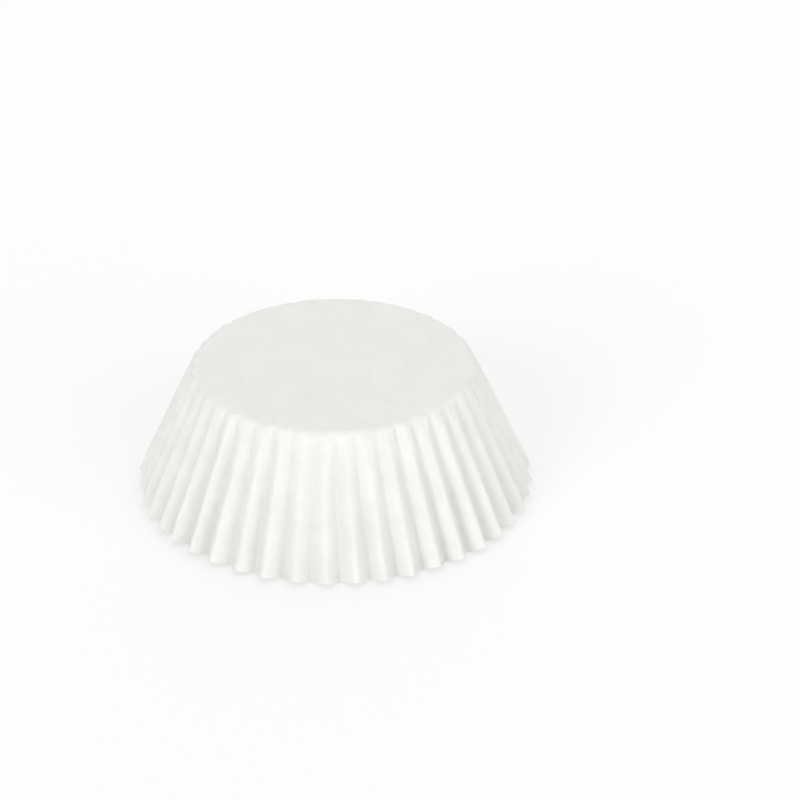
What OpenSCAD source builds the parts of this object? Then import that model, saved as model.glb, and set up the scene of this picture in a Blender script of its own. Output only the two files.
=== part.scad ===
// Fluted paper baking cup, standing on its mouth with the base on top.
// One round sheet of thin paper is pressed into a flat base and a fluted wall.
// The sheet keeps its length round every ring, and that sets how deep the flutes are there.
// Origin: centre of the plane that the cup stands on, +Z up through the base.

/* [Base] */
// Diameter of the base, to where the base and the wall would meet in a sharp corner
base_d = 50; // [40:1:60]
// Radius of the soft bend between the base and the wall
bend_r = 1.2; // [0.6:0.1:3]

/* [Wall] */
// Length of the wall down its slope, from the base's corner to the mouth's edge
wall_len = 26; // [18:0.5:40]
// Diameter of the mouth, midway between the flutes' crests and their grooves
mouth_d = 70; // [64:1:84]
// Number of flutes round the wall
flutes = 44; // [30:1:48]
// How much rounder a crest is than a groove, as a share of the flute's half depth
crest_roundness = 0.08; // [0:0.01:0.12]

/* [Paper] */
// Thickness of the paper
paper_t = 0.06; // [0.05:0.01:0.15]

/* [Hidden] */

paper_white = "#FAFAF6";

// Facets: points round one flute, and rows of facets down the bend and down the slope
flute_steps = 8;
bend_rows = 2;
slope_rows = 5;
// Above 1, the slope's rows lie closer together near the base, where the flutes deepen fastest
row_crowding = 1.5;
columns = flutes * flute_steps;

// The wall's lean from upright, and the angle that the paper turns through at the bend
lean = asin((mouth_d - base_d) / 2 / wall_len);
turn = 90 - lean;

// The bend takes corner_cut off both the flat base and the straight slope
corner_cut = bend_r * tan(turn / 2);
flat_r = base_d / 2 - corner_cut;
bend_len = bend_r * turn * PI / 180;
slope_len = wall_len - corner_cut;
paper_len = bend_len + slope_len;

// Width of one flute, on the mouth's middle line
mouth_pitch = PI * mouth_d / flutes;

// Fineness of the search for a flute's depth: samples along half a flute, and halvings of a
// range that ends far deeper than any flute
wave_samples = 24;
halvings = 24;
depth_limit = 2 * mouth_pitch;

// Plan coordinates lie on this grid, so that the base and the wall share their corners exactly
plan_grid = 1 / 4096;

// Distances along the paper, from the edge of the flat base, at which the rings lie
ring_at = concat(
    [for (i = [0:bend_rows]) bend_len * i / bend_rows],
    [for (i = [1:slope_rows]) bend_len + slope_len * pow(i / slope_rows, row_crowding)]
);

// Radius of the wall's middle line, at distance u along the paper
function middle_r(u) =
    u < bend_len
    ? flat_r + bend_r * sin(turn * u / bend_len)
    : base_d / 2 + (corner_cut + u - bend_len) * sin(lean);

// Depth of the middle line below the base, at distance u along the paper
function middle_drop(u) =
    u < bend_len
    ? bend_r * (1 - cos(turn * u / bend_len))
    : (corner_cut + u - bend_len) * cos(lean);

// One flute's outline over a full turn of phase: 1 at its crest, -1 at its groove
function wave(phase) = cos(phase) + crest_roundness * (1 - cos(2 * phase));

// The flutes swing out level at the base and square to the wall at the mouth
function swing(u) = lean * u / paper_len;

// Point of the sheet at distance u and flute phase, where the flutes' half depth is a
function sheet_point(u, phase, a) =
    let (
        angle = phase / flutes,
        r = middle_r(u) + a * wave(phase) * cos(swing(u)),
        z = a * wave(phase) * sin(swing(u)) - middle_drop(u)
    )
    [on_grid(r * cos(angle)), on_grid(r * sin(angle)), z];

function on_grid(x) = round(x / plan_grid) * plan_grid;

// Length of the sheet round half a flute, from its crest to its groove
function half_flute_len(u, a) =
    let (points = [for (i = [0:wave_samples]) sheet_point(u, 180 * i / wave_samples, a)])
    sum([for (i = [1:wave_samples]) norm(points[i] - points[i - 1])]);

function sum(values) = values * [for (v = values) 1];

// Half depth at which half a flute takes up just the length that the flat sheet has there
function half_depth(u, low = 0, high = depth_limit, left = halvings) =
    let (middle = (low + high) / 2)
    left <= 0
    ? middle
    : half_flute_len(u, middle) > PI * (flat_r + u) / flutes
    ? half_depth(u, low, middle, left - 1)
    : half_depth(u, middle, high, left - 1);

// The sheet's mid-surface as rings of points, from the edge of the flat base to the mouth
function sheet_rings() = [
    for (u = ring_at)
    let (a = u == 0 ? 0 : half_depth(u))
    [for (j = [0:columns - 1]) sheet_point(u, 360 * j / flute_steps, a)]
];

// Unit normal of the rings at row i and column j, out of the cup, and straight up at the base
function outward(rings, i, j) =
    i == 0
    ? [0, 0, 1]
    : let (
        down_wall = rings[min(i + 1, len(rings) - 1)][j] - rings[i - 1][j],
        round_wall = rings[i][(j + 1) % columns] - rings[i][(j + columns - 1) % columns],
        n = cross(down_wall, round_wall)
    )
    n / norm(n);

// The rings moved out of the cup by a distance, or into it where that is negative
function shifted(rings, distance) = [
    for (i = [0:len(rings) - 1])
    [for (j = [0:columns - 1]) rings[i][j] + distance * outward(rings, i, j)]
];

function flattened(lists) = [for (list = lists) each list];

// The wall: two faces a paper's thickness apart, closed along the mouth and at the flat base
module fluted_wall(outer, inner) {
    rows = len(outer);
    inside = rows * columns;

    // The four corners of the facet pair below row i and beside column j, on the face at first
    function corner(first, i, j) = first + i * columns + j % columns;

    // The dividing lines of the facet pairs on a flute's two flanks mirror each other
    function facets(first, i, j) =
        let (
            a = corner(first, i, j),
            b = corner(first, i, j + 1),
            c = corner(first, i + 1, j + 1),
            d = corner(first, i + 1, j)
        )
        j % flute_steps < flute_steps / 2 ? [[a, b, c], [a, c, d]] : [[a, b, d], [b, c, d]];

    function reversed(face) = [face[2], face[1], face[0]];

    outer_faces = [for (i = [0:rows - 2], j = [0:columns - 1]) each facets(0, i, j)];
    inner_faces = [
        for (i = [0:rows - 2], j = [0:columns - 1])
        for (face = facets(inside, i, j)) reversed(face)
    ];
    base_edge = [
        for (j = [0:columns - 1])
        each [
            [corner(0, 0, j), corner(inside, 0, j + 1), corner(0, 0, j + 1)],
            [corner(0, 0, j), corner(inside, 0, j), corner(inside, 0, j + 1)]
        ]
    ];
    mouth_edge = [
        for (j = [0:columns - 1])
        each [
            [corner(0, rows - 1, j), corner(0, rows - 1, j + 1), corner(inside, rows - 1, j + 1)],
            [corner(0, rows - 1, j), corner(inside, rows - 1, j + 1), corner(inside, rows - 1, j)]
        ]
    ];
    polyhedron(
        points = concat(flattened(outer), flattened(inner)),
        faces = concat(outer_faces, inner_faces, base_edge, mouth_edge)
    );
}

// The flat base, which meets the wall along the ring where the bend starts
module flat_base(edge) {
    translate([0, 0, -paper_t / 2])
        linear_extrude(height = paper_t)
            polygon([for (p = edge) [p.x, p.y]]);
}

module liner() {
    rings = sheet_rings();
    outer = shifted(rings, paper_t / 2);
    inner = shifted(rings, -paper_t / 2);
    mouth = concat(outer[len(rings) - 1], inner[len(rings) - 1]);
    color(paper_white)
        translate([0, 0, -min([for (p = mouth) p.z])])
            union() {
                fluted_wall(outer, inner);
                flat_base(rings[0]);
            }
}

liner();
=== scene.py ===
"""White paper baking cup that stands on its mouth, with its floor, lamps and camera.

The cup is one round sheet of greaseproof paper, pressed into a flat base and a fluted wall.
Lengths are in metres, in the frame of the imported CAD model, unless a name says otherwise.
Distances along the paper run from the edge of the flat base to the mouth, and are below 0 on
the base.
"""

import logging
import math
from dataclasses import dataclass, field
from enum import Enum
from functools import reduce
from typing import Any, Union
import bpy
import numpy as np
from mathutils import Matrix, Vector, noise


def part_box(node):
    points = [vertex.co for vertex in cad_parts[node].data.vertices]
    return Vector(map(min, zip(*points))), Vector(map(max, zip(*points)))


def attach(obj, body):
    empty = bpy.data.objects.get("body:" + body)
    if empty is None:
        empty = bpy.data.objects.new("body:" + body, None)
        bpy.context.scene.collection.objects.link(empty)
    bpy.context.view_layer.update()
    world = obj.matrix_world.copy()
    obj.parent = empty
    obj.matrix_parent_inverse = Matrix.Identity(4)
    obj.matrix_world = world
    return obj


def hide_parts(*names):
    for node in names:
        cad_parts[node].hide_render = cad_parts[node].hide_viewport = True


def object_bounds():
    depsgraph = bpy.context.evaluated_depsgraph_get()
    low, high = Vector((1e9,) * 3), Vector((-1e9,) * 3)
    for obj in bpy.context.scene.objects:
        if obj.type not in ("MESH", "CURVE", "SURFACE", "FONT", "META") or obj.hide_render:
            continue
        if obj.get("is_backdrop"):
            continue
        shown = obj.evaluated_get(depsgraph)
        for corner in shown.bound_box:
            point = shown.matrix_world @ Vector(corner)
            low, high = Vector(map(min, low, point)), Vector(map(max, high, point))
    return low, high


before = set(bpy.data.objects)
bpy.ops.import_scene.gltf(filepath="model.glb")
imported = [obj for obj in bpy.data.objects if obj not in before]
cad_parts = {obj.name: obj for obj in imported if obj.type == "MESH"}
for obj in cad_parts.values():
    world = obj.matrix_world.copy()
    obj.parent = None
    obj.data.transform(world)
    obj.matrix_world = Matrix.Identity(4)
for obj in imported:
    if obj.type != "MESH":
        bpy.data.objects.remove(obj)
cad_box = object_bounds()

log = logging.getLogger("baking_cup")

MM = 0.001

# The marks that the mesh hands to its material: the place on the flat blank, and the folding
BLANK_MAP = "blank"
FOLD_MARK = "fold"

WHITE = (1.0, 1.0, 1.0, 1.0)

# The numbers of a Mix node's sockets for colours
MIX_COLOUR_INPUTS = (0, 6, 7)
MIX_COLOUR_OUTPUT = 2

Face = tuple[int, ...]
Colour = tuple[float, float, float, float]
Ends = tuple[float, float]


class Side(Enum):
    """The two faces of the paper, and which way each lies from the middle of the sheet."""

    OUTSIDE = 1
    INSIDE = -1


class Lay(Enum):
    """How a pattern lies on the round blank."""

    FLAT = "flat"
    RADIAL = "radial"


def smooth_step(share: np.ndarray) -> np.ndarray:
    """Returns share, held to the range 0 to 1, with a soft start and end."""
    held = np.clip(share, 0.0, 1.0)
    return held * held * (3.0 - 2.0 * held)


def direction(azimuth_deg: float, elevation_deg: float) -> Vector:
    """Finds the way towards a viewer, who looks along +Y from azimuth 0.

    Args:
        azimuth_deg: How far round the viewer stands.
        elevation_deg: How high above the horizon the viewer is.

    Returns:
        The unit vector towards the viewer.
    """
    turn, rise = math.radians(azimuth_deg), math.radians(elevation_deg)
    flat = math.cos(rise)
    return Vector((math.sin(turn) * flat, -math.cos(turn) * flat, math.sin(rise)))


def new_mesh(name: str, points: list, faces: list[Face]) -> bpy.types.Mesh:
    """Makes a mesh.

    Args:
        name: Its name.
        points: Its points.
        faces: Its faces, as the numbers of their points.

    Returns:
        The mesh.
    """
    mesh = bpy.data.meshes.new(name)
    mesh.from_pydata(points, [], faces)
    mesh.update()
    return mesh


def new_object(name: str, data: bpy.types.ID) -> bpy.types.Object:
    """Makes an object and puts it into the scene.

    Args:
        name: Its name.
        data: Its mesh, lamp or camera.

    Returns:
        The object.
    """
    made = bpy.data.objects.new(name, data)
    bpy.context.scene.collection.objects.link(made)
    return made


@dataclass
class Pressing:
    """The sizes of the pressed cup. Its lengths and number of flutes are the part's own.

    The paper keeps its length round every ring, and that sets how deep the flutes are there.
    crest_roundness makes a crest rounder than a groove, and flank_flatness straightens the
    flanks between them. The search for a flute's depth halves a range that ends
    deepest_pitches flute widths deep.
    """

    base_d: float = 50 * MM
    bend_r: float = 1.2 * MM
    wall_len: float = 26 * MM
    mouth_d: float = 70 * MM
    flutes: int = 44
    crest_roundness: float = 0.10
    flank_flatness: float = 0.055
    paper_t: float = 0.06 * MM
    halvings: int = 26
    wave_samples: int = 24
    deepest_pitches: float = 2.0
    lean: float = field(init=False)
    turn: float = field(init=False)
    flat_r: float = field(init=False)
    bend_len: float = field(init=False)
    paper_len: float = field(init=False)
    blank_r: float = field(init=False)
    mouth_pitch: float = field(init=False)

    def __post_init__(self) -> None:
        """Works out the lengths and angles that follow from the sizes."""
        self.lean = math.asin((self.mouth_d - self.base_d) / 2 / self.wall_len)
        self.turn = math.pi / 2 - self.lean
        corner_cut = self.bend_r * math.tan(self.turn / 2)
        self.flat_r = self.base_d / 2 - corner_cut
        self.bend_len = self.bend_r * self.turn
        self.paper_len = self.bend_len + self.wall_len - corner_cut
        self.blank_r = self.flat_r + self.paper_len
        self.mouth_pitch = math.pi * self.mouth_d / self.flutes

    def middle_line(self, u: np.ndarray) -> tuple[np.ndarray, np.ndarray]:
        """Finds the wall's middle line, halfway between the crests and the grooves.

        Args:
            u: Distances along the paper.

        Returns:
            The radii, and the depths below the base.
        """
        bend_angle = self.turn * np.clip(u, 0.0, self.bend_len) / self.bend_len
        past_bend = np.maximum(u - self.bend_len, 0.0)
        radius = self.flat_r + np.minimum(u, 0.0) + self.bend_r * np.sin(bend_angle)
        depth = self.bend_r * (1.0 - np.cos(bend_angle))
        return radius + past_bend * math.sin(self.lean), depth + past_bend * math.cos(self.lean)

    def wave(self, phase: np.ndarray) -> np.ndarray:
        """Finds a flute's outline, whose groove is sharper than its crest.

        Args:
            phase: Where to look, as an angle from 0 at a crest to pi at a groove.

        Returns:
            1 at a crest, -1 at a groove, and what lies between them on the flanks.
        """
        flat = self.flank_flatness
        folded = (np.cos(phase) + flat * np.cos(3.0 * phase)) / (1.0 + flat)
        return folded + self.crest_roundness * (1.0 - np.cos(2.0 * phase))

    def swing(self, u: np.ndarray) -> np.ndarray:
        """Returns how far from level the flutes swing out at distances u along the paper."""
        return self.lean * np.clip(u, 0.0, None) / self.paper_len

    def half_depths(self, u: np.ndarray, widths: np.ndarray) -> np.ndarray:
        """Finds how deep the flutes are, from the length of paper that each has to take up.

        Args:
            u: Distances along the paper, one for each ring.
            widths: How wide each flute is on each ring, as a share of an even flute.

        Returns:
            Half of each flute's depth, ring by ring.
        """
        phase = np.linspace(0.0, math.pi, self.wave_samples + 1)
        wave = self.wave(phase)
        angle = phase * widths[..., None] / self.flutes
        middle = self.middle_line(u)[0][:, None, None]
        swing = self.swing(u)[:, None, None]
        flat_len = math.pi * (self.flat_r + u)[:, None] / self.flutes
        low = np.zeros_like(widths)
        high = np.full_like(widths, self.deepest_pitches * self.mouth_pitch)
        for _ in range(self.halvings):
            half = (low + high) / 2
            radius = middle + half[..., None] * wave * np.cos(swing)
            height = half[..., None] * wave * np.sin(swing)
            points = np.stack([radius * np.cos(angle), radius * np.sin(angle), height], axis=-1)
            length = np.linalg.norm(np.diff(points, axis=2), axis=-1).sum(axis=2)
            too_long = length > flat_len
            low = np.where(too_long, low, half)
            high = np.where(too_long, half, high)
        return np.where(u[:, None] > 0.0, (low + high) / 2, 0.0)


@dataclass(frozen=True)
class Scatter:
    """Uneven values round 0: how far from it they usually lie, and how far at most."""

    usual: float
    most: float = math.inf

    def draw(self, rng: np.random.Generator, count: int) -> np.ndarray:
        """Returns that many values."""
        return rng.normal(0.0, self.usual, count).clip(-self.most, self.most)


@dataclass(frozen=True)
class Crimp:
    """Small folds in a band round the cup: how deep they are, and where the band lies.

    The band's middle is middle_bends lengths of the bend from the edge of the flat base.
    """

    depth: float
    middle_bends: float
    reach: float

    def strength(self, u: float, bend_len: float) -> float:
        """Returns how strongly the folds show at distance u along the paper, from 0 to 1."""
        off = (u - self.middle_bends * bend_len) / self.reach
        return math.exp(-off * off)


@dataclass
class Handling:
    """How far the real cup strays from its even pressing, all of it from one seed.

    Wander and drift are in flutes, round the cup. depth_wander is a share of a flute's depth.
    """

    flutes: int
    seed: int = 52
    mouth_wander: Scatter = Scatter(0.042, 0.09)
    bend_wander: Scatter = Scatter(0.021, 0.05)
    drift: Scatter = Scatter(0.08, 0.13)
    drift_knots: int = 9
    depth_wander: Scatter = Scatter(0.07, 0.12)
    rim_wander: Scatter = Scatter(0.06 * MM)
    rim_tilt: float = 0.10 * MM
    oval: float = 0.16 * MM
    dome: float = 0.06 * MM
    pinch: Crimp = Crimp(0.13 * MM, 0.75, 1.15 * MM)
    weakest_pinch: float = 0.25
    pinch_sharpness: int = 3
    gather: Crimp = Crimp(0.026 * MM, 1.6, 2.99 * MM)
    gathers_per_flute: float = 3.0
    at_mouth: np.ndarray = field(init=False)
    at_bend: np.ndarray = field(init=False)
    slow_drift: np.ndarray = field(init=False)
    depths: np.ndarray = field(init=False)
    rim: np.ndarray = field(init=False)
    pinches: np.ndarray = field(init=False)
    gather_shifts: np.ndarray = field(init=False)
    tilt_from: float = field(init=False)
    oval_from: float = field(init=False)

    def __post_init__(self) -> None:
        """Draws every uneven value, always in the same order."""
        rng = np.random.default_rng(self.seed)
        self.at_mouth = self.mouth_wander.draw(rng, 2 * self.flutes)
        self.at_bend = self.bend_wander.draw(rng, 2 * self.flutes)
        self.slow_drift = self.drift.draw(rng, self.drift_knots)
        self.depths = 1.0 + self.depth_wander.draw(rng, self.flutes)
        self.rim = self.rim_wander.draw(rng, 2 * self.flutes)
        self.pinches = rng.uniform(self.weakest_pinch, 1.0, self.flutes)
        self.gather_shifts = rng.uniform(-math.pi, math.pi, self.flutes)
        self.tilt_from, self.oval_from = rng.uniform(-math.pi, math.pi, 2)

    @staticmethod
    def round_curve(knots: np.ndarray, place: np.ndarray) -> np.ndarray:
        """Reads a closed smooth curve through values that stand evenly round the cup.

        Args:
            knots: The values.
            place: Where to read, as a share of the way round.

        Returns:
            The curve's values there.
        """
        at = place * len(knots)
        first = np.floor(at).astype(int)
        share = smooth_step(at - first)
        return knots[first % len(knots)] * (1 - share) + knots[(first + 1) % len(knots)] * share


@dataclass(frozen=True)
class Ripples:
    """The softness of the paper: long swells on the base, and ripples most of all on the wall.

    The ripples come in calm and stirred places. fine_scale, fine_share and base_share are
    shares of the ripples' size, of their height, and of their height on the wall. The change
    from base to wall starts at the distance wall_from along the paper, and takes wall_within.
    """

    height: float = 0.052 * MM
    size: float = 2.8 * MM
    fine_scale: float = 0.42
    fine_share: float = 0.45
    fine_from: tuple[float, float, float] = (9.0, 4.0, 2.0)
    calm_size: float = 11 * MM
    calm_mean: float = 0.65
    calm_range: float = 0.9
    calm_from: tuple[float, float, float] = (3.0, 8.0, 5.0)
    base_share: float = 0.2
    swell_height: float = 0.06 * MM
    swell_size: float = 12 * MM
    wall_from: float = -1.0 * MM
    wall_within: float = 3.0 * MM

    def lift(self, x: float, y: float, u: float) -> float:
        """Finds how far a point of the sheet lies off the even surface.

        Args:
            x: The point's place on the flat blank, across.
            y: The point's place on the flat blank, along.
            u: Its distance along the paper.

        Returns:
            The distance, which is below 0 where the point lies further in.
        """
        spot = Vector((x, y, 0.0))
        on_wall = min(max((u - self.wall_from) / self.wall_within, 0.0), 1.0)
        swell = self.swell_height * noise.noise(spot / self.swell_size)
        coarse = noise.noise(spot / self.size)
        fine = noise.noise(spot / (self.fine_scale * self.size) + Vector(self.fine_from))
        calm = noise.noise(spot / self.calm_size + Vector(self.calm_from))
        stirred = self.calm_mean + self.calm_range * calm
        ripple = self.height * stirred * (coarse + self.fine_share * fine)
        return swell * (1.0 - on_wall) + ripple * (
            self.base_share + (1.0 - self.base_share) * on_wall
        )


@dataclass
class Ring:
    """One ring of points on the sheet: its distance along the paper, and how many it has."""

    u: float
    count: int


@dataclass
class SheetPoints:
    """Points of the sheet: where they are, and where they lay on the flat blank.

    folds tells how far each is towards a crest, at 1, or a groove, at -1.
    """

    points: np.ndarray
    blank: np.ndarray
    folds: np.ndarray

    @staticmethod
    def joined(parts: list["SheetPoints"]) -> "SheetPoints":
        """Joins sets of points.

        Args:
            parts: The sets.

        Returns:
            One set with all the points in the same order.
        """
        return SheetPoints(
            np.concatenate([part.points for part in parts]),
            np.concatenate([part.blank for part in parts]),
            np.concatenate([part.folds for part in parts]),
        )


@dataclass
class PressedSheet:
    """The middle surface of the paper, as rings of points from the base's centre to the mouth.

    The rows of facets on the wall lie closer together near the base where row_crowding is
    above 1. On the base the rings lie wider apart towards the centre. A ring there has half
    the points of the ring round it where they would stand closer than halve_below steps. The
    mark for folding is full from fold_bends lengths of the bend on.
    """

    pressing: Pressing = field(default_factory=Pressing)
    ripples: Ripples = field(default_factory=Ripples)
    flute_steps: int = 20
    bend_rows: int = 8
    slope_rows: int = 30
    row_crowding: float = 1.15
    finest_step: float = 0.19 * MM
    step_growth: float = 0.16
    widest_step: float = 1.1 * MM
    halve_below: float = 0.75
    fold_bends: float = 3.0
    handling: Handling = field(init=False)

    def __post_init__(self) -> None:
        """Draws the unevenness for as many flutes as the pressing has."""
        self.handling = Handling(self.pressing.flutes)

    def rings(self) -> list[Ring]:
        """Returns the rings from the centre outwards."""
        count = self.pressing.flutes * self.flute_steps
        return self.base_rings(count) + self.wall_rings(count)

    def base_rings(self, count: int) -> list[Ring]:
        """Lays out the rings of the flat base.

        Args:
            count: How many points the ring at the base's edge has.

        Returns:
            The rings from the centre outwards.
        """
        flat_r = self.pressing.flat_r
        rings = [Ring(0.0, count)]
        while rings[-1].u > -flat_r:
            last = rings[-1]
            step = min(self.widest_step, self.finest_step + self.step_growth * -last.u)
            radius = flat_r + last.u - step
            if radius < step:
                break
            close = 2 * math.pi * radius / last.count < self.halve_below * step
            halve = close and last.count % 2 == 0
            rings.append(Ring(radius - flat_r, last.count // 2 if halve else last.count))
        return rings[::-1]

    def wall_rings(self, count: int) -> list[Ring]:
        """Lays out the rings of the bend and of the wall's slope.

        Args:
            count: How many points each ring has.

        Returns:
            The rings from the base outwards.
        """
        bend_len = self.pressing.bend_len
        slope_len = self.pressing.paper_len - bend_len
        bend = [bend_len * i / self.bend_rows for i in range(1, self.bend_rows + 1)]
        slope = [
            bend_len + slope_len * (i / self.slope_rows) ** self.row_crowding
            for i in range(1, self.slope_rows + 1)
        ]
        return [Ring(u, count) for u in bend + slope]

    def stray(self, u: float, place: np.ndarray) -> np.ndarray:
        """Finds how far the flutes stray round the cup on a ring.

        Args:
            u: The ring's distance along the paper.
            place: Where to look, as a share of the way round.

        Returns:
            The distances, in flutes.
        """
        press, hand = self.pressing, self.handling
        bent = smooth_step(np.asarray(u / press.bend_len))
        share = np.clip(u / press.paper_len, 0.0, 1.0)
        at_bend = hand.round_curve(hand.at_bend, place)
        at_mouth = hand.round_curve(hand.at_mouth, place) + hand.round_curve(hand.slow_drift, place)
        return at_bend * bent * (1.0 - share) + at_mouth * share

    def depth_table(self, rings: list[Ring]) -> np.ndarray:
        """Finds how deep the flutes are.

        Args:
            rings: The rings.

        Returns:
            Half of each flute's depth, ring by ring.
        """
        flutes = self.pressing.flutes
        crest = np.arange(flutes)
        after, before = (crest + 0.5) / flutes, (crest - 0.5) / flutes
        widths = [1.0 + self.stray(ring.u, after) - self.stray(ring.u, before) for ring in rings]
        u = np.array([ring.u for ring in rings])
        return self.pressing.half_depths(u, np.array(widths)) * self.handling.depths

    def place_points(self, rings: list[Ring]) -> SheetPoints:
        """Places the point at the centre, and then those of the rings in their order.

        Args:
            rings: The rings from the centre outwards.

        Returns:
            The points.
        """
        depths = self.depth_table(rings)
        placed = [self.ring_points(ring, row) for ring, row in zip(rings, depths)]
        middle = placed[0].points.mean(axis=0, keepdims=True)
        return SheetPoints.joined([SheetPoints(middle, np.zeros((1, 2)), np.zeros(1))] + placed)

    def ring_points(self, ring: Ring, depths: np.ndarray) -> SheetPoints:
        """Places one ring's points.

        Args:
            ring: The ring.
            depths: The flutes' half depths on it.

        Returns:
            The points.
        """
        press, hand = self.pressing, self.handling
        place = np.arange(ring.count) / ring.count
        phase = 2.0 * math.pi * press.flutes * place
        around = 2.0 * math.pi * place
        share = max(ring.u, 0.0) / press.paper_len
        reach = self.rim_shift(place, around) * share
        radius, depth = press.middle_line(ring.u + reach)
        wave = press.wave(phase)
        out = hand.round_curve(depths, place) * wave
        swing = press.swing(np.asarray(ring.u))
        radius = radius + out * np.cos(swing)
        height = out * np.sin(swing) - depth
        oval = hand.oval * share * np.cos(2.0 * (around - hand.oval_from))
        crimp = self.crimp_depth(ring.u, place, phase)
        lean_out = press.turn * smooth_step(np.asarray(ring.u / press.bend_len))
        radius = radius + oval - crimp * np.sin(lean_out)
        height = height - crimp * np.cos(lean_out) + self.base_height(radius, ring.u)
        angle = around + 2.0 * math.pi / press.flutes * self.stray(ring.u, place)
        points = np.stack([radius * np.cos(angle), radius * np.sin(angle), height], axis=1)
        blank = (press.flat_r + ring.u) * np.stack([np.cos(around), np.sin(around)], axis=1)
        folded = smooth_step(np.asarray(ring.u / (self.fold_bends * press.bend_len)))
        return SheetPoints(points, blank, wave * folded)

    def rim_shift(self, place: np.ndarray, around: np.ndarray) -> np.ndarray:
        """Finds how far the paper falls short of an even edge at the mouth.

        Args:
            place: Where to look, as a share of the way round.
            around: The same as an angle.

        Returns:
            The distances, none of them above 0.
        """
        hand = self.handling
        tilt = hand.rim_tilt * (np.cos(around - hand.tilt_from) - 1.0)
        return hand.round_curve(hand.rim, place) - hand.rim.max() + tilt

    def crimp_depth(self, u: float, place: np.ndarray, phase: np.ndarray) -> np.ndarray:
        """Finds how far the paper is crimped in where it gathers round the bend.

        Args:
            u: Distance along the paper.
            place: Share of the way round.
            phase: Phase of the flutes.

        Returns:
            The depth of the pinches at the grooves' heads, with the fine gathers between them.
        """
        press, hand = self.pressing, self.handling
        groove = (0.5 - 0.5 * np.cos(phase)) ** hand.pinch_sharpness
        uneven = hand.round_curve(hand.pinches, place - 0.5 / press.flutes)
        pinch = hand.pinch.depth * uneven * groove * hand.pinch.strength(u, press.bend_len)
        shift = hand.round_curve(hand.gather_shifts, place)
        gather = hand.gather.depth * np.sin(hand.gathers_per_flute * phase + shift)
        return pinch + gather * hand.gather.strength(u, press.bend_len)

    def base_height(self, radius: np.ndarray, u: float) -> np.ndarray:
        """Returns how far the base is domed, with nothing left of it past the bend."""
        share = np.clip(radius / self.pressing.flat_r, 0.0, 1.0)
        return self.handling.dome * (1.0 - share**2) ** 2 if u < 0 else np.zeros_like(radius)

    def lifts(self, blank: np.ndarray) -> np.ndarray:
        """Returns how far the ripples lift the points at those places on the flat blank."""
        flat_r = self.pressing.flat_r
        return np.array([self.ripples.lift(x, y, math.hypot(x, y) - flat_r) for x, y in blank])


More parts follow.
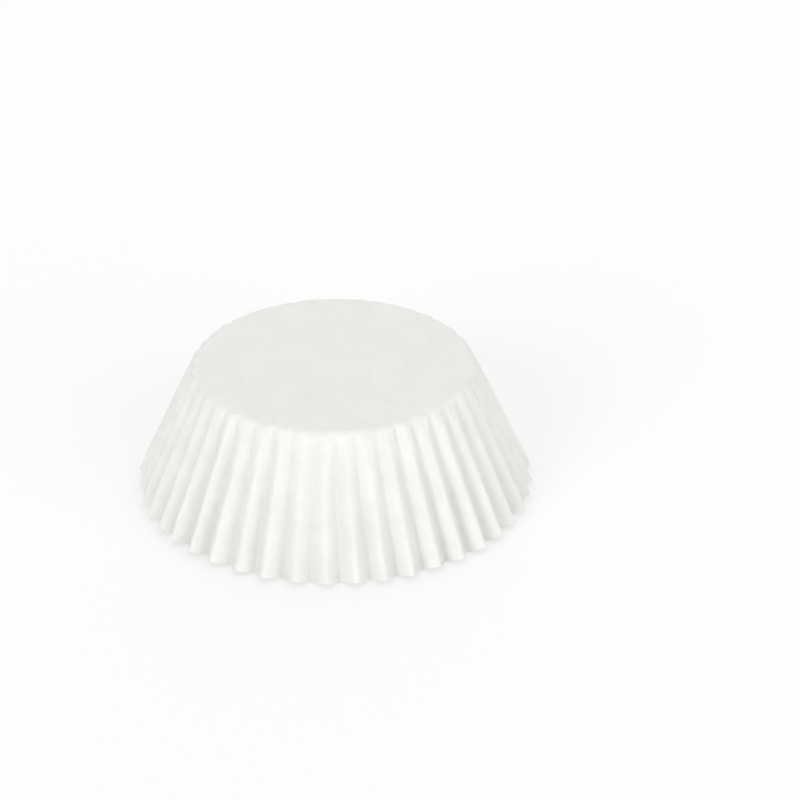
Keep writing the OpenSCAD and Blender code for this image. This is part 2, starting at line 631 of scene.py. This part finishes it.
@dataclass
class PaperShell:
    """Turns the middle surface into the closed mesh of a sheet of paper."""

    sheet: PressedSheet = field(default_factory=PressedSheet)
    edge_angle_deg: float = 60.0

    @staticmethod
    def band_faces(inner: int, outer: int, few: int, many: int) -> list[Face]:
        """Joins two rings with faces that look outwards.

        Args:
            inner: Number of the inner ring's first point.
            outer: Number of the outer ring's first point.
            few: Points on the inner ring.
            many: Points on the outer ring, as many or twice as many.

        Returns:
            The faces.
        """
        faces: list[Face] = []
        for i in range(few):
            here, after = inner + i, inner + (i + 1) % few
            if few == many:
                faces.append((here, outer + i, outer + (i + 1) % many, after))
                continue
            out = [outer + (2 * i + k) % many for k in range(3)]
            faces.append((here, out[0], out[1]))
            faces.append((here, out[1], after))
            faces.append((after, out[1], out[2]))
        return faces

    def layer_faces(self, rings: list[Ring]) -> list[Face]:
        """Joins the centre and all the rings into one surface.

        Args:
            rings: The rings from the centre outwards.

        Returns:
            The faces, which look outwards.
        """
        first = rings[0].count
        faces: list[Face] = [(0, 1 + i, 1 + (i + 1) % first) for i in range(first)]
        start = 1
        for ring, after in zip(rings, rings[1:]):
            faces += self.band_faces(start, start + ring.count, ring.count, after.count)
            start += ring.count
        return faces

    @staticmethod
    def closed_faces(faces: list[Face], count: int, mouth: int) -> list[Face]:
        """Adds the inner layer's faces, and those that join the layers along the mouth.

        Args:
            faces: The outer layer's faces.
            count: How many points a layer has.
            mouth: How many of them lie along the mouth, which are the last ones.

        Returns:
            All the faces.
        """
        inside = [tuple(count + i for i in reversed(face)) for face in faces]
        rim = count - mouth
        edge = [
            (rim + (i + 1) % mouth, rim + i, count + rim + i, count + rim + (i + 1) % mouth)
            for i in range(mouth)
        ]
        return faces + inside + edge

    @staticmethod
    def read_points(mesh: bpy.types.Mesh) -> tuple[np.ndarray, np.ndarray]:
        """Reads a mesh's points.

        Args:
            mesh: The mesh.

        Returns:
            The points, and the normals at them.
        """
        points = np.empty(3 * len(mesh.vertices))
        normals = np.empty(3 * len(mesh.vertices))
        mesh.vertices.foreach_get("co", points)
        mesh.vertex_normals.foreach_get("vector", normals)
        return points.reshape(-1, 3), normals.reshape(-1, 3)

    def rippled(self, sheet: SheetPoints, faces: list[Face]) -> tuple[np.ndarray, np.ndarray]:
        """Lays the paper's ripples on the middle surface.

        Args:
            sheet: The surface's points.
            faces: Its faces.

        Returns:
            The rippled points, and the normals at them.
        """
        mesh = new_mesh("middle_of_paper", sheet.points.tolist(), faces)
        points, normals = self.read_points(mesh)
        lifts = self.sheet.lifts(sheet.blank)
        mesh.vertices.foreach_set("co", (points + normals * lifts[:, None]).ravel())
        mesh.update()
        points, normals = self.read_points(mesh)
        bpy.data.meshes.remove(mesh)
        return points, normals

    def mark(self, mesh: bpy.types.Mesh, sheet: SheetPoints) -> None:
        """Marks the mesh with its place on the flat blank, from 0 to 1, and with its folding.

        Args:
            mesh: The closed mesh, of which each layer has the surface's points in their order.
            sheet: The middle surface's points.
        """
        corners = np.empty(len(mesh.loops), dtype=np.int32)
        mesh.loops.foreach_get("vertex_index", corners)
        spots = 0.5 + np.tile(sheet.blank, (len(Side), 1)) / (2.0 * self.sheet.pressing.blank_r)
        blank = mesh.uv_layers.new(name=BLANK_MAP)
        blank.uv.foreach_set("vector", spots[corners].ravel().astype(np.float32))
        fold = mesh.attributes.new(FOLD_MARK, "FLOAT", "POINT")
        fold.data.foreach_set("value", np.tile(sheet.folds, len(Side)).astype(np.float32))

    def build(self, name: str) -> bpy.types.Object:
        """Makes the closed mesh, a paper's thickness between its two layers, standing at height 0.

        Args:
            name: The new piece's name.

        Returns:
            The piece.
        """
        rings = self.sheet.rings()
        sheet = self.sheet.place_points(rings)
        faces = self.layer_faces(rings)
        points, normals = self.rippled(sheet, faces)
        half = self.sheet.pressing.paper_t / 2
        both = np.concatenate([points + side.value * half * normals for side in Side])
        both[:, 2] -= both[:, 2].min()
        closed = self.closed_faces(faces, len(points), rings[-1].count)
        mesh = new_mesh(name, both.tolist(), closed)
        self.mark(mesh, sheet)
        mesh.shade_smooth()
        mesh.set_sharp_from_angle(angle=math.radians(self.edge_angle_deg))
        return new_object(name, mesh)


Feed = Union[float, tuple, "Wire"]


@dataclass(frozen=True)
class Wire:
    """An output socket of a node tree, on which Python's operators add Math nodes."""

    tree: "NodeTree"
    socket: Any

    def __add__(self, other: Feed) -> "Wire":
        """Returns self + other."""
        return self.tree.math("ADD", self, other)

    def __radd__(self, other: Feed) -> "Wire":
        """Returns other + self."""
        return self.tree.math("ADD", other, self)

    def __sub__(self, other: Feed) -> "Wire":
        """Returns self - other."""
        return self.tree.math("SUBTRACT", self, other)

    def __rsub__(self, other: Feed) -> "Wire":
        """Returns other - self."""
        return self.tree.math("SUBTRACT", other, self)

    def __mul__(self, other: Feed) -> "Wire":
        """Returns self * other."""
        return self.tree.math("MULTIPLY", self, other)

    def __rmul__(self, other: Feed) -> "Wire":
        """Returns other * self."""
        return self.tree.math("MULTIPLY", other, self)

    def highest(self, other: Feed) -> "Wire":
        """Returns the higher of self and other."""
        return self.tree.math("MAXIMUM", self, other)


@dataclass
class NodeTree:
    """Adds nodes to a material's or the world's tree, from left to right."""

    tree: bpy.types.NodeTree
    step_px: int = 190

    def __post_init__(self) -> None:
        """Empties the tree."""
        self.tree.nodes.clear()

    def node(
        self, kind: str, settings: dict[str, Any], sockets: dict[Any, Feed], output: Any = 0
    ) -> Wire:
        """Adds a node.

        Args:
            kind: The node's type.
            settings: Its settings, which are set first.
            sockets: Values or wires for its inputs, by name or number.
            output: The name or number of the output to return.

        Returns:
            That output, or an empty wire for a node without one.
        """
        made = self.tree.nodes.new(kind)
        made.location.x = self.step_px * len(self.tree.nodes)
        for key, value in settings.items():
            setattr(made, key, value)
        for key, value in sockets.items():
            if isinstance(value, Wire):
                self.tree.links.new(value.socket, made.inputs[key])
            else:
                made.inputs[key].default_value = value
        return Wire(self, made.outputs[output] if len(made.outputs) else None)

    def math(self, operation: str, *values: Feed) -> Wire:
        """Returns the result of a Math node on numbers or wires."""
        return self.node("ShaderNodeMath", {"operation": operation}, dict(enumerate(values)))

    def vector(self, operation: str, output: str, *values: Feed) -> Wire:
        """Returns an output of a Vector Math node."""
        settings = {"operation": operation}
        return self.node("ShaderNodeVectorMath", settings, dict(enumerate(values)), output)

    def mix_colour(self, share: Feed, first: Feed, second: Feed) -> Wire:
        """Returns first where share is 0 and second where it is 1."""
        sockets = dict(zip(MIX_COLOUR_INPUTS, (share, first, second)))
        return self.node("ShaderNodeMix", {"data_type": "RGBA"}, sockets, MIX_COLOUR_OUTPUT)

    def mix_shader(self, share: Feed, first: Wire, second: Wire) -> Wire:
        """Returns the shader first where share is 0 and second where it is 1."""
        return self.node("ShaderNodeMixShader", {}, {0: share, 1: first, 2: second})

    def spread(self, value: Wire, ends: Ends) -> Wire:
        """Returns value spread so that the two ends become 0 and 1, and held between them."""
        sockets = {"Value": value, "From Min": ends[0], "From Max": ends[1]}
        return self.node("ShaderNodeMapRange", {"clamp": True}, sockets)


def seen_plainly(tree: NodeTree) -> Wire:
    """Tells what shows from what only lights, so that a white stage adds no light to the paper.

    Args:
        tree: The stage's nodes.

    Returns:
        1 for what the camera sees directly, in a gloss or through glass, and else 0.
    """
    rays = tree.node("ShaderNodeLightPath", {}, {}).socket.node.outputs
    kinds = ("Is Camera Ray", "Is Glossy Ray", "Is Transmission Ray")
    seen = reduce(Wire.highest, [Wire(tree, rays[kind]) for kind in kinds])
    return seen * (1.0 - Wire(tree, rays["Is Diffuse Ray"]))


@dataclass(frozen=True)
class Grain:
    """One layer of the paper's unevenness: cloudy noise of a size, with finer noise in it.

    Where the noise is spread, its two ends become 0 and 1.
    """

    size: float
    detail: float
    roughness: float = 0.55
    ends: Ends = (0.0, 1.0)
    lay: Lay = Lay.FLAT

    def plain(self, tree: NodeTree, places: dict[Lay, Wire]) -> Wire:
        """Adds the layer's noise.

        Args:
            tree: The material's nodes.
            places: Where a pattern reads its noise, for each way to lie.

        Returns:
            The noise as it is, mostly near 0.5.
        """
        sockets = {
            "Vector": places[self.lay],
            "Scale": 1.0 / self.size,
            "Detail": self.detail,
            "Roughness": self.roughness,
        }
        return tree.node("ShaderNodeTexNoise", {}, sockets, "Fac")

    def spread(self, tree: NodeTree, places: dict[Lay, Wire]) -> Wire:
        """Returns the layer's noise, spread over the range from 0 to 1."""
        return tree.spread(self.plain(tree, places), self.ends)


@dataclass(frozen=True)
class Strands:
    """The paper's long fibres, which lie several ways over each other."""

    length: float = 0.9 * MM
    width: float = 0.11 * MM
    ways_deg: tuple[float, ...] = (12.0, 74.0, 131.0)
    detail: float = 1.5
    waviness: float = 0.8
    ends: Ends = (0.54, 0.72)

    def spread(self, tree: NodeTree, spot: Wire) -> Wire:
        """Adds the fibres.

        Args:
            tree: The material's nodes.
            spot: Place on the flat blank.

        Returns:
            1 along a fibre and 0 between the fibres.
        """
        squeeze = (1.0 / self.length, 1.0 / self.width, 1.0)
        found: list[Wire] = []
        for way_deg in self.ways_deg:
            turn = (0.0, 0.0, math.radians(way_deg))
            turned = tree.node("ShaderNodeMapping", {}, {"Vector": spot, "Rotation": turn})
            drawn = tree.node("ShaderNodeMapping", {}, {"Vector": turned, "Scale": squeeze})
            sockets = {"Vector": drawn, "Scale": 1.0}
            sockets |= {"Detail": self.detail, "Distortion": self.waviness}
            clouds = tree.node("ShaderNodeTexNoise", {}, sockets, "Fac")
            found.append(tree.spread(clouds, self.ends))
        return reduce(Wire.highest, found)


@dataclass(frozen=True)
class Shine:
    """What makes the paper smoother, as shares of the whole: crests, clouds and bare ground."""

    crest: float = 0.5
    cloud: float = 0.3
    ground: float = 0.2


@dataclass(frozen=True)
class Relief:
    """How far the layers of the paper stand up, as shares of a depth."""

    depth: float = 0.05 * MM
    tooth: float = 0.28
    strands: float = 0.26
    cloud: float = 0.24
    cockle: float = 0.30
    wrinkle: float = 0.50


@dataclass(frozen=True)
class GreaseproofPaper:
    """White calendered baking paper: faintly cloudy where its fibres bunch, with a low sheen.

    see_through is the share of light that shines through. Wrinkles run out along the flutes,
    from where the wall starts, and have their true width at wrinkle_r from the centre.
    """

    name: str = "greaseproof_paper"
    thick_white: Colour = (0.950, 0.950, 0.936, 1.0)
    thin_white: Colour = (0.904, 0.904, 0.884, 1.0)
    strand_white: Colour = (0.976, 0.976, 0.967, 1.0)
    # Painted shade: the darker, warmer white that the paper is mixed towards in the grooves
    groove_shade_white: Colour = (0.872, 0.866, 0.832, 1.0)
    glow: Colour = (0.940, 0.928, 0.880, 1.0)
    strand_tint: float = 0.65
    groove_shade_share: float = 0.40
    see_through: float = 0.25
    see_through_range: float = 0.10
    matt: float = 0.58
    polished: float = 0.42
    tooth_matt: float = 0.06
    specular: float = 0.42
    ior: float = 1.5
    cloud: Grain = Grain(1.4 * MM, 3.0, ends=(0.32, 0.68))
    patch: Grain = Grain(6.5 * MM, 2.0, ends=(0.34, 0.66))
    cockle: Grain = Grain(2.4 * MM, 1.0)
    tooth: Grain = Grain(0.17 * MM, 2.5, roughness=0.6)
    wrinkle: Grain = Grain(0.60 * MM, 2.0, lay=Lay.RADIAL)
    strands: Strands = Strands()
    shine: Shine = Shine()
    relief: Relief = Relief()
    cloud_share: float = 0.62
    patch_share: float = 0.38
    # Painted shade: where along the fold mark the grooves' shade is painted
    groove_shade_ends: Ends = (-0.55, -1.0)
    crest_ends: Ends = (0.80, 1.0)
    wall_ends: Ends = (21.84 * MM, 26 * MM)
    wrinkle_r: float = 40 * MM
    wrinkle_draw: float = 0.16

    def blank_spot(self, tree: NodeTree, blank_r: float) -> Wire:
        """Finds the place on the flat blank.

        Args:
            tree: The material's nodes.
            blank_r: Radius of the blank.

        Returns:
            The place, in metres from the blank's centre.
        """
        sockets = {
            "Vector": tree.node("ShaderNodeUVMap", {"uv_map": BLANK_MAP}, {}),
            "Location": (-blank_r, -blank_r, 0.0),
            "Scale": (2.0 * blank_r, 2.0 * blank_r, 1.0),
        }
        return tree.node("ShaderNodeMapping", {}, sockets)

    def lay_out(self, tree: NodeTree, spot: Wire, far: Wire) -> dict[Lay, Wire]:
        """Finds where patterns read their noise.

        Args:
            tree: The material's nodes.
            spot: Place on the flat blank.
            far: Distance from its centre.

        Returns:
            That place for each way to lie. A radial pattern is drawn out along the flutes.
        """
        way = tree.vector("NORMALIZE", "Vector", spot)
        scale = (self.wrinkle_r, self.wrinkle_r, self.wrinkle_r)
        around = tree.node("ShaderNodeMapping", {}, {"Vector": way, "Scale": scale})
        out = tree.node("ShaderNodeCombineXYZ", {}, {"Z": far * self.wrinkle_draw})
        return {Lay.FLAT: spot, Lay.RADIAL: tree.vector("ADD", "Vector", around, out)}

    def make(self, blank_r: float) -> bpy.types.Material:
        """Makes the material.

        Args:
            blank_r: Radius of the flat blank, which the mesh's map spans.

        Returns:
            The material.
        """
        material = bpy.data.materials.new(self.name)
        material.use_nodes = True
        tree = NodeTree(material.node_tree)
        spot = self.blank_spot(tree, blank_r)
        far = tree.vector("LENGTH", "Value", spot)
        places = self.lay_out(tree, spot, far)

        cloud = self.cloud.spread(tree, places)
        patch = self.patch.spread(tree, places)
        cockle = self.cockle.plain(tree, places)
        tooth = self.tooth.plain(tree, places)
        strands = self.strands.spread(tree, spot)
        wrinkle = self.wrinkle.plain(tree, places) * tree.spread(far, self.wall_ends)
        fold = tree.node("ShaderNodeAttribute", {"attribute_name": FOLD_MARK}, {}, "Fac")
        groove = tree.spread(fold, self.groove_shade_ends)
        crest = tree.spread(fold, self.crest_ends)

        thickness = self.cloud_share * cloud + self.patch_share * patch
        body = tree.mix_colour(thickness, self.thin_white, self.thick_white)
        body = tree.mix_colour(self.strand_tint * strands, body, self.strand_white)
        # Painted shade: the grooves are mixed towards a darker, warmer white, as if shade fell in
        # them
        body = tree.mix_colour(self.groove_shade_share * groove, body, self.groove_shade_white)

        ground = 1.0 - strands
        shine = self.shine.crest * crest + self.shine.cloud * cloud + self.shine.ground * ground
        roughness = self.matt + (self.polished - self.matt) * shine
        roughness = roughness + self.tooth_matt * (tooth - 0.5)

        height = self.relief.tooth * tooth + self.relief.strands * strands
        height = height + self.relief.cloud * cloud + self.relief.cockle * cockle
        height = height + self.relief.wrinkle * wrinkle
        bump = {"Strength": 1.0, "Distance": self.relief.depth, "Height": height}
        face = {
            "Base Color": body,
            "Roughness": roughness,
            "Normal": tree.node("ShaderNodeBump", {}, bump, "Normal"),
            "Specular IOR Level": self.specular,
            "IOR": self.ior,
        }
        lit = tree.node("ShaderNodeBsdfPrincipled", {}, face)
        through = tree.node("ShaderNodeBsdfTranslucent", {}, {"Color": self.glow})
        share = self.see_through + self.see_through_range * (0.5 - thickness)
        surface = tree.mix_shader(share, lit, through)
        tree.node("ShaderNodeOutputMaterial", {}, {"Surface": surface})
        return material


@dataclass
class BakingCup:
    """The pressed paper cup, which is one piece."""

    name: str = "pressed_paper_cup"
    node: str = "liner"
    body: str = "root"
    slot: str = "paper"
    shell: PaperShell = field(default_factory=PaperShell)
    paper: GreaseproofPaper = field(default_factory=GreaseproofPaper)

    def build(self) -> bpy.types.Object:
        """Builds and dresses the cup, and lets it stand for its solid.

        Returns:
            The piece.
        """
        piece = self.shell.build(self.name)
        piece.data.materials.append(self.paper.make(self.shell.sheet.pressing.blank_r))
        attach(piece, self.body)
        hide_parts(self.node)
        return piece


@dataclass(frozen=True)
class Lamp:
    """A soft sun, so that the floor is lit evenly: where it shines from, and how strongly."""

    name: str
    azimuth_deg: float
    elevation_deg: float
    strength: float
    spread_deg: float

    def build(self) -> bpy.types.Object:
        """Makes the lamp.

        Returns:
            The lamp.
        """
        data = bpy.data.lights.new(self.name, "SUN")
        data.energy = self.strength
        data.angle = math.radians(self.spread_deg)
        lamp = new_object(self.name, data)
        back = direction(self.azimuth_deg, self.elevation_deg)
        lamp.location = back
        lamp.rotation_euler = (-back).to_track_quat("-Z", "Y").to_euler()
        return lamp


@dataclass(frozen=True)
class Floor:
    """The plain white floor, which shows almost as white as the background and keeps shadows.

    lift is the share of plain white in it where it shows.
    """

    half_side: float = 4.0
    colour: Colour = (0.90, 0.90, 0.895, 1.0)
    lift: float = 0.62

    def build(self) -> bpy.types.Object:
        """Makes the floor and marks it as stage.

        Returns:
            The floor.
        """
        side = self.half_side
        corners = [(-side, -side, 0), (side, -side, 0), (side, side, 0), (-side, side, 0)]
        mesh = new_mesh("floor", corners, [(0, 1, 2, 3)])
        material = bpy.data.materials.new("floor_white")
        material.use_nodes = True
        tree = NodeTree(material.node_tree)
        matt = tree.node("ShaderNodeBsdfDiffuse", {}, {"Color": self.colour})
        white = tree.node("ShaderNodeEmission", {}, {"Color": WHITE, "Strength": 1.0})
        both = tree.mix_shader(seen_plainly(tree) * self.lift, matt, white)
        tree.node("ShaderNodeOutputMaterial", {}, {"Surface": both})
        mesh.materials.append(material)
        floor = new_object("floor", mesh)
        floor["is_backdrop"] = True
        return floor


@dataclass(frozen=True)
class Camera:
    """The photograph's camera: its angle, and where the middle of the cup's base falls in it.

    base_depth is how far that middle lies from the camera along the line of sight.
    """

    azimuth_deg: float = 2.15
    elevation_deg: float = 29.8
    focal_px: float = 2227.0
    image_px: float = 800.0
    sensor_mm: float = 36.0
    base_px: tuple[float, float] = (333.5, 361.5)
    base_depth: float = 0.3977
    clip_start: float = 0.01
    clip_end: float = 20.0

    def build(self, base_centre: Vector) -> bpy.types.Object:
        """Makes the camera and gives it to the scene.

        Args:
            base_centre: The middle of the cup's base.

        Returns:
            The camera.
        """
        data = bpy.data.cameras.new("camera")
        data.sensor_width = self.sensor_mm
        data.lens = self.sensor_mm * self.focal_px / self.image_px
        data.clip_start = self.clip_start
        data.clip_end = self.clip_end
        camera = new_object("camera", data)
        turn = (-direction(self.azimuth_deg, self.elevation_deg)).to_track_quat("-Z", "Y")
        per_px = self.base_depth / self.focal_px
        right = (self.base_px[0] - self.image_px / 2) * per_px
        up = (self.image_px / 2 - self.base_px[1]) * per_px
        offset = turn @ Vector((right, up, -self.base_depth))
        camera.matrix_world = Matrix.Translation(base_centre - offset) @ turn.to_matrix().to_4x4()
        bpy.context.scene.camera = camera
        return camera


@dataclass
class Studio:
    """The floor, the lamps, the world and the camera.

    The world lights with world_strength, and shows with world_seen, where 1 is white.
    """

    floor: Floor = field(default_factory=Floor)
    camera: Camera = field(default_factory=Camera)
    world_strength: float = 0.70
    world_seen: float = 0.985
    lamps: tuple[Lamp, ...] = (
        Lamp("key_lamp", azimuth_deg=-36.0, elevation_deg=26.0, strength=1.09, spread_deg=26.0),
        Lamp("fill_lamp", azimuth_deg=50.0, elevation_deg=24.0, strength=0.88, spread_deg=48.0),
        Lamp("back_lamp", azimuth_deg=175.0, elevation_deg=34.0, strength=0.52, spread_deg=60.0),
    )

    def build(self) -> None:
        """Builds the stage round the cup."""
        self.floor.build()
        for lamp in self.lamps:
            lamp.build()
        self.build_world()
        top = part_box("liner")[1].z
        self.camera.build(Vector((0.0, 0.0, top)))
        bpy.context.scene.view_settings.view_transform = "Standard"

    def build_world(self) -> None:
        """Makes the white world, which lights the cup less strongly than it shows."""
        world = bpy.data.worlds.new("white_room")
        bpy.context.scene.world = world
        world.use_nodes = True
        tree = NodeTree(world.node_tree)
        light, white = [
            tree.node("ShaderNodeBackground", {}, {"Color": WHITE, "Strength": strength})
            for strength in (self.world_strength, self.world_seen)
        ]
        both = tree.mix_shader(seen_plainly(tree), light, white)
        tree.node("ShaderNodeOutputWorld", {}, {"Surface": both})


def write_sizes() -> None:
    """Writes the CAD model's box and the visual model's box."""
    shown_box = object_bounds()
    sizes = {
        "cad": [list(corner) for corner in cad_box],
        "visual": [list(corner) for corner in shown_box],
    }
    log.info("cad box %s, visual box %s", sizes["cad"], sizes["visual"])


def main() -> None:
    """Builds the cup and the studio, and reports each piece."""
    logging.basicConfig(level=logging.INFO, format="%(name)s: %(message)s")
    cup = BakingCup().build()
    log.info("%s: %d points, %d faces", cup.name, len(cup.data.vertices), len(cup.data.polygons))
    Studio().build()
    log.info("studio: floor, lamps, world and camera")


if __name__ == "__main__":
    main()
    write_sizes()
